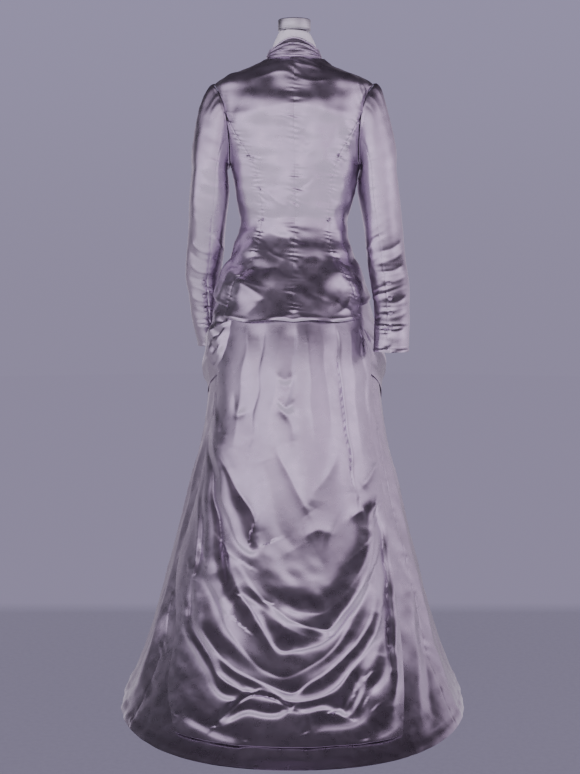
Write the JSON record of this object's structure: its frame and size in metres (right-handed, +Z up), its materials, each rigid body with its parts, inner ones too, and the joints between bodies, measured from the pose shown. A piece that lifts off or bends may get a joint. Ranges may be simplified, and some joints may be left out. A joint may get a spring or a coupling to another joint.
{
  "type": "edwardian bustle dress on a dress form",
  "caption": "Floor-length two-piece satin dress with a fitted long-sleeved bodice, a draped and pleated back and a train, standing on a limbless dress form.",
  "frame": {"origin": "centre of the stand's round foot, on the floor", "axes": "+Z up, +Y towards the wearer's front, +X towards the wearer's right"},
  "size_m": [0.7714, 0.912, 1.543],
  "materials": {
    "satin": "dusty mauve-grey satin with a soft sheen",
    "form_white": "smooth matte white",
    "steel": "polished",
    "black_iron": "black paint"
  },
  "bodies": {
    "root": {"back_drape": "satin", "bodice_back_left": "satin", "bodice_back_right": "satin", "bodice_side_left": "satin", "bodice_side_right": "satin", "bodice_front_left": "satin", "bodice_front_right": "satin", "collar": "satin", "sleeve_upper_left": "satin", "sleeve_upper_right": "satin", "sleeve_under_left": "satin", "sleeve_under_right": "satin", "cuff_button_left_1": "satin", "cuff_button_left_2": "satin", "cuff_button_left_3": "satin", "cuff_button_left_4": "satin", "cuff_button_right_1": "satin", "cuff_button_right_2": "satin", "cuff_button_right_3": "satin", "cuff_button_right_4": "satin", "front_button_1": "satin", "front_button_2": "satin", "front_button_3": "satin", "front_button_4": "satin", "front_button_5": "satin", "front_button_6": "satin", "front_button_7": "satin", "front_button_8": "satin", "front_button_9": "satin", "waistband": "satin", "skirt_train": "satin", "skirt_side_left": "satin", "skirt_side_right": "satin", "skirt_front": "satin", "front_drape": "satin", "form_torso": "form_white", "neck_cap": "steel", "stand_pole": "steel", "stand_foot": "black_iron"}
  },
  "joints": []
}
